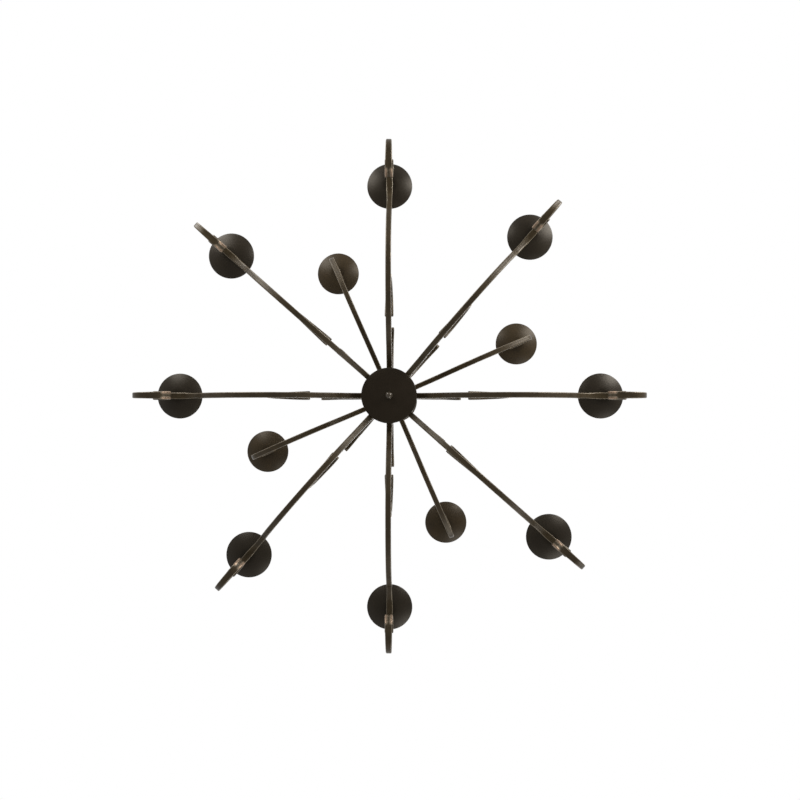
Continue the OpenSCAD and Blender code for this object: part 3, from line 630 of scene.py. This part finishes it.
def dish_profile():
    """Half outline of a drip dish whose edge is rolled up and in, and its rub values."""
    seat = DISH_BOWL - sqrt(DISH_BOWL ** 2 - DISH_SEAT ** 2)
    roll_x = DISH_R - DISH_ROLL
    lean = asin(roll_x / (DISH_BOWL - DISH_ROLL))
    roll_z = DISH_BOWL - (DISH_BOWL - DISH_ROLL) * cos(lean) - seat
    edge_x = DISH_BOWL * sin(lean)
    under = [(DISH_HOLE, 0.0), (DISH_SEAT - 1.5, 0.0), (DISH_SEAT, 0.12)]
    steps = 16
    for i in range(1, steps):
        x = DISH_SEAT + (edge_x - DISH_SEAT) * i / steps
        under.append((x, DISH_BOWL - sqrt(DISH_BOWL ** 2 - x * x) - seat))
    roll = arc(roll_x, roll_z, DISH_ROLL, degrees(lean) - 90, 175, 12)
    inner = DISH_BOWL - SHEET
    over = []
    bowl_x = roll_x - 2.2
    for i in range(steps + 1):
        x = bowl_x - (bowl_x - DISH_SEAT + 1) * i / steps
        over.append((x, DISH_BOWL - sqrt(inner ** 2 - x * x) - seat))
    over += [(DISH_SEAT - 2, SHEET), (DISH_HOLE, SHEET)]
    values = [0.0] * (len(under) + 3) + [0.6] * (len(roll) - 3) + [0.0] * len(over)
    return under + roll + over, values


def candle_form(centre, seed):
    """A candle sleeve with wax drips run down from its top edge."""
    foot = SHEET + WELD_GAP
    top = foot + CANDLE_H
    drips = [(2 * pi * (k + 0.5 * noise.noise(Vector((seed, k, 0.3)))) / 7,
              10 + 20 * (0.5 + 0.5 * noise.noise(Vector((k * 1.7, seed, 2.1)))),
              0.20 + 0.07 * noise.noise(Vector((k, 4.2, seed)))) for k in range(7)]

    def wobble(a, r, z):
        if r < CANDLE_R - 0.9:
            return 0.0
        out = 0.0
        for at, length, width in drips:
            d = abs((a - at + pi) % (2 * pi) - pi)
            fall = top - z
            if fall > length + 3:
                continue
            side = exp(-(d / width) ** 2)
            bead = 1.0 + 0.5 * exp(-((fall - length) / 2.5) ** 2)
            fade = min(1.0, max(0.0, (length + 3 - fall) / 3.0))
            out = max(out, 0.85 * side * bead * fade)
        out = max(out, 0.6 * exp(-((top - z) / 3.0) ** 2))
        return out - 0.35

    rise = [(CANDLE_R, foot + CANDLE_H * i / 36) for i in range(36)]
    edge = arc(CANDLE_R - 0.5, top - 0.5, 0.5, 0, 180, 6)
    down = [(CANDLE_R - CANDLE_WALL, top - 6), (CANDLE_R - CANDLE_WALL, foot)]
    profile = rise + edge + down
    return lathe(profile, centre, 56, [0.0] * len(profile), wobble)


GLOW_MIDDLE = 0.46
GLOW_REACH = 0.20


def bulb_profile():
    """Half outline of a candle lamp's glass, with its glow."""
    steps = 26
    glass = SHEET + WELD_GAP + CANDLE_H - 4 + WELD_GAP
    points, glow = [(0.0, glass)], [0.0]
    for i in range(steps + 1):
        f = i / steps
        r = BULB_R * sin(pi * f ** 0.62) ** 0.8 if 0 < f < 1 else 0.0
        if f < 0.5:
            r = max(r, BULB_BASE_R)
        points.append((r, glass + BULB_H * f))
        glow.append(exp(-((f - GLOW_MIDDLE) / GLOW_REACH) ** 2))
    points[-1] = (0.0, points[-1][1])
    return points, glow


DISH_PROFILE, DISH_VALUES = dish_profile()
BULB_PROFILE, BULB_GLOW = bulb_profile()
FRAMES = (("fixed", DISH_CIRCLE, 0.0, 0.0, "column", DISH),
          ("swivel", DISH_CIRCLE, SWIVEL_ANGLE, -FRAME_STEP, "swivel_frame", DISH),
          ("upper", UPPER_DISH_CIRCLE, UPPER_ANGLE, TIER_RISE, "upper_frame", UPPER_DISH))
for kind, circle, first, level, body, paint in FRAMES:
    dishes, candles, bulbs = Shape(), Shape(), Shape()
    for i in range(4):
        a = radians(first + 90 * i)
        centre = (circle * cos(a), circle * sin(a), level - DROP)
        dishes.add(*lathe(DISH_PROFILE, centre, 96, DISH_VALUES))
        candles.add(*candle_form(centre, 3.1 * i + level * 0.37))
        bulbs.add(*lathe(BULB_PROFILE, centre, 48, BULB_GLOW))
    dishes.make(f"{kind}_drip_dishes", body, "wrought_iron", paint, (f"{kind}_dishes",), sharp=40)
    candles.make(f"{kind}_candle_sleeves", body, "candle", IVORY, (f"{kind}_candles",), sharp=50)
    bulbs.make(f"{kind}_lamps", body, "lamp", LIT_GLASS, (f"{kind}_bulbs",), attribute="glow", sharp=60)

# Turned pieces of the hub and the column


VASE_WAIST_R = 19.0
VASE_NECK_R = 17.0
VASE_FOOT_H = 34.0
VASE_SHOULDER_H = 52.0
VASE_LINE = 13.0
VASE_COLLAR = 56.0


def vase_r(z):
    """Radius of the vase at a height."""
    low = VASE_FOOT + VASE_FOOT_H
    high = VASE_BELLY_Z + VASE_SHOULDER_H
    if z < low:
        return VASE_WAIST_R + 8 * cos(pi / 2 * (z - VASE_FOOT) / VASE_FOOT_H) ** 2
    if z < VASE_BELLY_Z:
        rise = sin(pi / 2 * (z - low) / (VASE_BELLY_Z - low)) ** 2
        return VASE_WAIST_R + (VASE_BELLY_R - VASE_WAIST_R) * rise
    if z < high:
        fall = sin(pi / 2 * (z - VASE_BELLY_Z) / VASE_SHOULDER_H) ** 2
        return VASE_BELLY_R - (VASE_BELLY_R - VASE_NECK_R) * fall
    return VASE_NECK_R


def turned(name, profile, body, nodes, mat=TURNED, slot="wrought_iron", values=None, z0=-DROP, **extra):
    """One turned piece on the column's axis. z0 is the level its outline is counted from."""
    verts, faces, rub_and_highlight = lathe(profile, (0, 0, z0), 96, values)
    piece(name, verts, faces, body, slot, mat, nodes, rub_and_highlight, **extra)


def bump_at(z, middle, reach):
    """A smooth bump, 1 at its middle."""
    return exp(-((z - middle) / reach) ** 2)


def vase_profile():
    """The vase with its turned beads: foot, incised lines at the belly, collar and spigot."""
    top = VASE_TOP - 8
    points = [(ROD_HOLE, VASE_FOOT), (26.2, VASE_FOOT), (27.0, VASE_FOOT + 0.8)]
    values = [0.0, 0.2, 0.6]
    steps = 64
    for i in range(1, steps + 1):
        z = VASE_FOOT + (top - VASE_FOOT) * i / steps
        mark = 0.5 * (bump_at(z, VASE_BELLY_Z - VASE_LINE, 1.6) + bump_at(z, VASE_BELLY_Z + VASE_LINE, 1.6))
        bead = 1.2 * (bump_at(z, VASE_FOOT + VASE_FOOT_H, 2.2) + bump_at(z, VASE_BELLY_Z + VASE_COLLAR, 2.2))
        points.append((vase_r(z) - mark + bead, z))
        values.append(0.12 + 0.45 * bead)
    points += [(25.6, VASE_TOP - 7.2), (27.4, VASE_TOP - 6), (28, VASE_TOP - 4.6), (28, VASE_TOP - 0.6),
               (27.4, VASE_TOP), (SPIGOT_R, VASE_TOP), (SPIGOT_R, SPIGOT_TOP - FACE_GAP / 2),
               (ROD_HOLE, SPIGOT_TOP - FACE_GAP / 2)]
    values += [0.3, 0.5, 0.6, 0.6, 0.4, 0.0, 0.0, 0.0]
    return points, values


points, values = vase_profile()
turned("turned_vase", points, "column", ("column_vase",), values=values, sharp=28)

disc_edge = arc(DISC_R - 0.9, DISC_Z - 0.9, 0.9, 90, 0, 4)
dome = [(DISC_R * cos(radians(a)), DISC_Z - DISC_T - DISC_DOME * sin(radians(a))) for a in range(2, 90, 4)]
turned("domed_hub_disc",
       [(ROD_HOLE, BOSS_Z - WELD_GAP), (BUSH_R + 5, BOSS_Z - WELD_GAP), (BUSH_R + 9, DISC_Z)]
       + disc_edge + dome + [(ROD_HOLE, DISC_LOW)],
       "column", ("hub_disc",), mat=DISC, slot="dark_iron")

neck = DISC_LOW - WELD_GAP
ball = arc(0, neck - 3.5 - FINIAL_R, FINIAL_R, 55, -90, 22)
turned("ball_finial",
       [(ROD_HOLE, neck), (7.1, neck), (7.5, neck - 0.5), (7.5, neck - 1.8), (7.0, neck - 2.5),
        (5.9, neck - 3.6), (5.3, neck - 4.6)]
       + [(r, z) for r, z in ball if z < neck - 5.2]
       + [(0.0, neck - 3.5 - FINIAL_R - 6.8), (0.0, neck - 6.4), (ROD_HOLE, neck - 6.4)],
       "column", ("finial",), mat=BALL, slot="dark_iron")

TUBE_FLANGE = TUBE_R + 7
turned("column_pipe",
       [(TUBE_R - TUBE_WALL, TUBE_LOW), (TUBE_FLANGE - 0.6, TUBE_LOW), (TUBE_FLANGE, TUBE_LOW + 0.6),
        (TUBE_FLANGE, TUBE_LOW + 4.2), (TUBE_FLANGE - 1, TUBE_LOW + 5.2), (TUBE_R + 2.4, TUBE_LOW + 7),
        (TUBE_R + 0.8, TUBE_LOW + 8.2), (TUBE_R, TUBE_LOW + 10), (TUBE_R, TUBE_HIGH),
        (TUBE_R - TUBE_WALL, TUBE_HIGH)],
       "column", ("column_tube",), values=[0, .3, .6, .6, .3, .1, .1, .1, .1, 0])

knop = [(TUBE_R + THREAD_GAP, -24), (15.4, -24), (16, -23.4)]
knop += arc(15.2, -21, 2.3, -70, 80, 8) + [(15.2, -17.6)]
knop += [(TUBE_R + 2 + (KNOP_R - TUBE_R - 2) * cos(radians(a)), 16 * sin(radians(a)))
         for a in range(-75, 76, 6)]
knop += [(15.2, 17.6)] + arc(15.2, 21, 2.3, -80, 70, 8)
knop += [(16, 23.4), (15.4, 24), (TUBE_R + THREAD_GAP, 24)]
turned("turned_knop", knop, "column", ("column_knop",), z0=KNOP_Z - DROP,
       values=[0.35 if abs(z) > 18.5 or abs(z) < 3 else 0.05 for _, z in knop])


def bell_profile():
    """Bell cap: outside from the neck down to the mouth, and back up inside."""
    neck_r, flare = TUBE_R + 3, CAP_R - TUBE_R - 3
    outside = [(ROD_HOLE, 0.0), (neck_r - 2.6, 0.0), (neck_r - 1.2, -0.5)]
    outside += [(neck_r + flare * (1 - cos(radians(a))), -2 - (CAP_H - 2) * sin(radians(a)))
                for a in range(4, 90, 5)]
    outside += arc(CAP_R - 0.7, -CAP_H + 0.7, 0.7, 60, -90, 5)
    inside = [(neck_r - SHEET + flare * (1 - cos(radians(a))), -2 - SHEET - (CAP_H - 2.3) * sin(radians(a)))
              for a in range(78, 0, -6)]
    inside += [(neck_r - SHEET - 2, -SHEET), (ROD_HOLE, -SHEET)]
    return outside + [(CAP_R - 2.0, -CAP_H)] + inside


turned("bell_cap", bell_profile(), "column", ("top_cap",), z0=CAP_TOP)

# Canopy, collar and chain


def canopy_profile():
    """Spun canopy: outside from the rim down to the hole, and back up inside."""
    side, bend, low = CANOPY_R - 5, 16.0, -CANOPY_H
    outside = [(CANOPY_R - 0.4, 0.0), (CANOPY_R, -0.4), (CANOPY_R, -1.3), (CANOPY_R - 1.2, -2.4),
               (side + 1.2, -4.2), (side, -5.6)]
    outside += [(side - bend + bend * cos(radians(a)), low + bend - bend * sin(radians(a)))
                for a in range(0, 91, 6)]
    outside += [(34.0, low), (33.2, low + 0.4), (32.4, low), (11.4, low)]
    inside = [(11.4, low + SHEET)]
    inner = bend - SHEET
    inside += [(side - bend + inner * cos(radians(a)), low + bend - inner * sin(radians(a)))
               for a in range(90, -1, -6)]
    inside += [(side - SHEET, -5.0), (CANOPY_R - SHEET, -1.6), (CANOPY_R - SHEET, 0.0)]
    return outside + inside


turned("spun_canopy", canopy_profile(), "ceiling_mount", ("canopy",), z0=0.0)
turned("canopy_ring_nut",
       [(11.15, 0), (16.6, 0), (17.4, -0.6), (18.5, -2), (18.5, -4.8), (18.0, -5.6), (15.9, -7.2),
        (15.2, -7.5), (11.15, -7.5)],
       "ceiling_mount", ("canopy_collar",), z0=-CANOPY_H - 0.2)


WIRE_SIDES = 14
LINK_WELD = 31
LINK_ENDS = (13, 48)


def wire_loop(points, radius, weld, values):
    """A closed wire through points (position, normal of the loop's plane), a little swollen at its weld."""
    verts, out, faces = [], [], []
    total = len(points)
    for i, (place, across) in enumerate(points):
        ahead = (points[(i + 1) % total][0] - points[i - 1][0]).normalized()
        side = ahead.cross(across).normalized()
        r = radius * (1 + 0.14 * exp(-((i - weld) / 1.2) ** 2))
        for j in range(WIRE_SIDES):
            a = 2 * pi * j / WIRE_SIDES
            verts.append(tuple(place + side * (r * cos(a)) + across * (r * sin(a))))
            out.append(values(i))
    for i in range(total):
        k = (i + 1) % total
        for j in range(WIRE_SIDES):
            m = (j + 1) % WIRE_SIDES
            faces.append(tuple(row * WIRE_SIDES + col for row, col in ((i, j), (i, m), (k, m), (k, j))))
    return verts, faces, out


def chain_link(index):
    """A welded chain link, worn bright where it bears on its neighbours."""
    top = FIRST_TOP - index * LINK_PITCH
    straight = LINK_LENGTH - 2 * LINK_R
    across = Vector((1, 0, 0)) if index % 2 == 0 else Vector((0, -1, 0))
    wide = Vector((0, 1, 0)) if index % 2 == 0 else Vector((1, 0, 0))
    outline = arc(0, 0, LINK_R, 0, 180, 26)
    outline += [(-LINK_R, -straight * i / 10) for i in range(1, 10)]
    outline += arc(0, -straight, LINK_R, 180, 360, 26)
    outline += [(LINK_R, -straight * (1 - i / 10)) for i in range(1, 10)]
    points = [(wide * u + Vector((0, 0, top - LINK_R + v)), across) for u, v in outline]

    def wear(i):
        near = min(abs(i - end) for end in LINK_ENDS)
        return 0.12 + 0.8 * max(0.0, 1 - near / 9.0)

    verts, faces, values = wire_loop(points, LINK_WIRE, LINK_WELD, wear)
    piece(f"welded_link_{index + 1}", verts, faces, f"link_{index + 1}", "wrought_iron", IRON,
          (f"chain_link_{index + 1}",), values)


for i in range(5):
    chain_link(i)


# CAD nodes that keep their shape


def finish_node(name, mat, bevel=0.0):
    """Gives a CAD node its material and, where asked, small rounded edges."""
    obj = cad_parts[name]
    if not obj.material_slots:
        obj.data.materials.append(mat)
    for slot_ in obj.material_slots:
        slot_.material = mat
    if bevel:
        mod = obj.modifiers.new("rounded_edges", "BEVEL")
        mod.width = bevel * MM
        mod.segments = 2
        mod.limit_method = "ANGLE"
        mod.angle_limit = radians(40)


for name in ("fixed_ring", "swivel_ring", "upper_ring"):
    finish_node(name, TURNED, 0.5)
for name in ("canopy_loop", "fixture_loop"):
    finish_node(name, IRON)
for name in ("crossbar", "ceiling_nipple", "nipple_nuts", "centre_rod", "hub_bush", "hub_washer",
             "fixed_nipples", "swivel_nipples", "upper_nipples"):
    finish_node(name, ZINC)
for name in ("fixed_sockets", "swivel_sockets", "upper_sockets"):
    finish_node(name, PLASTIC)

# Stage, light and camera


def seen_directly(tree):
    """1 for rays from the camera, off metal and through glass, so that these show the background."""
    path = tree.nodes.new("ShaderNodeLightPath")
    total = path.outputs["Is Camera Ray"]
    for kind in ("Is Glossy Ray", "Is Transmission Ray"):
        both = tree.nodes.new("ShaderNodeMath")
        both.operation = "ADD"
        both.use_clamp = True
        tree.links.new(total, both.inputs[0])
        tree.links.new(path.outputs[kind], both.inputs[1])
        total = both.outputs[0]
    return total


def stage_material():
    """A pale floor that fades into the white background at its rim."""
    mat, shader, add, link = new_material("pale_floor")
    place = add("ShaderNodeTexCoord").outputs["Object"]
    cloud = add("ShaderNodeTexNoise", {"Vector": place, "Scale": 3.0, "Detail": 3.0})
    link(ramp(add, cloud.outputs["Fac"], [(0.3, grey(0.86)), (0.7, grey(0.89))]), shader.inputs["Base Color"])
    shader.inputs["Roughness"].default_value = 0.9
    away = add("ShaderNodeVectorMath", {0: place}, operation="LENGTH").outputs["Value"]
    fade = add("ShaderNodeMapRange", {"Value": away, "From Min": 1.5, "From Max": FLOOR_R, "To Max": 0.6},
               interpolation_type="SMOOTHSTEP").outputs[0]
    shader.inputs["Emission Color"].default_value = (1.0, 1.0, 1.0, 1.0)
    link(add("ShaderNodeMath", {0: fade, 1: seen_directly(mat.node_tree)}, operation="MULTIPLY").outputs[0],
         shader.inputs["Emission Strength"])
    return mat


FLOOR_Z = -3.6
FLOOR_R = 7.0
FLOOR_SIDES = 96
rim = [2 * pi * i / FLOOR_SIDES for i in range(FLOOR_SIDES)]
floor_mesh = bpy.data.meshes.new("studio_floor")
floor_mesh.from_pydata([(FLOOR_R * cos(a), FLOOR_R * sin(a), 0.0) for a in rim], [],
                       [tuple(range(FLOOR_SIDES))])
floor_mesh.materials.append(stage_material())
floor = bpy.data.objects.new("studio_floor", floor_mesh)
floor.location = (0.0, 0.0, FLOOR_Z)
bpy.context.scene.collection.objects.link(floor)

WORLD_LIGHT = 0.60
world = bpy.data.worlds.new("studio")
bpy.context.scene.world = world
world.use_nodes = True
tree = world.node_tree
strength = tree.nodes.new("ShaderNodeMapRange")
strength.inputs["To Min"].default_value = WORLD_LIGHT
strength.inputs["To Max"].default_value = 1.0
tree.links.new(seen_directly(tree), strength.inputs["Value"])
background = tree.nodes["Background"]
background.inputs["Color"].default_value = (1.0, 1.0, 1.0, 1.0)
tree.links.new(strength.outputs[0], background.inputs["Strength"])


def soft_light(name, place, aim, width, height, power, colour=(1.0, 0.98, 0.95)):
    """A softbox at a place, facing a point. The camera doesn't see it, but metal does."""
    data = bpy.data.lights.new(name, "AREA")
    data.shape = "RECTANGLE"
    data.size = width
    data.size_y = height
    data.energy = power
    data.color = colour
    obj = bpy.data.objects.new(name, data)
    obj.location = place
    obj.rotation_euler = (Vector(aim) - Vector(place)).to_track_quat("-Z", "Y").to_euler()
    obj.visible_camera = False
    bpy.context.scene.collection.objects.link(obj)


HEART = (0.0, 0.0, -0.75)
soft_light("right_softbox", (1.01, -0.74, -0.98), HEART, 0.5, 1.0, 23)
soft_light("left_softbox", (-0.70, -0.87, -0.98), HEART, 0.5, 1.0, 13.5)
soft_light("back_soft", (1.15, 1.95, -1.15), HEART, 1.4, 1.4, 24)
soft_light("top_soft", (0.0, 0.0, 1.6), HEART, 1.6, 1.6, 16)

# The camera lies on its back under the chandelier, tilted a little. The picture's right is +X and its
# top is -Y.
PICTURE = 800.0
FOCAL_PX = 1078.2
SENSOR = 36.0
CAMERA_BELOW = 2300.0
CAMERA_PLACE = (54.0, 41.7)
CAMERA_TILT = (-0.82, 0.79)
camera_data = bpy.data.cameras.new("photo_camera")
camera_data.sensor_fit = "HORIZONTAL"
camera_data.sensor_width = SENSOR
camera_data.lens = FOCAL_PX * SENSOR / PICTURE
camera_data.clip_end = 50
camera = bpy.data.objects.new("photo_camera", camera_data)
to_camera = (Matrix.Rotation(radians(CAMERA_TILT[0]), 3, "X")
             @ Matrix.Rotation(radians(CAMERA_TILT[1]), 3, "Y"))
right, down, ahead = to_camera
camera.matrix_world = Matrix.Translation((CAMERA_PLACE[0] * MM, CAMERA_PLACE[1] * MM,
                                          -(DROP + CAMERA_BELOW) * MM)) \
    @ Matrix((right, -down, -ahead)).transposed().to_4x4()
bpy.context.scene.collection.objects.link(camera)
bpy.context.scene.camera = camera

bpy.context.scene.view_settings.view_transform = "Standard"

bpy.context.view_layer.update()
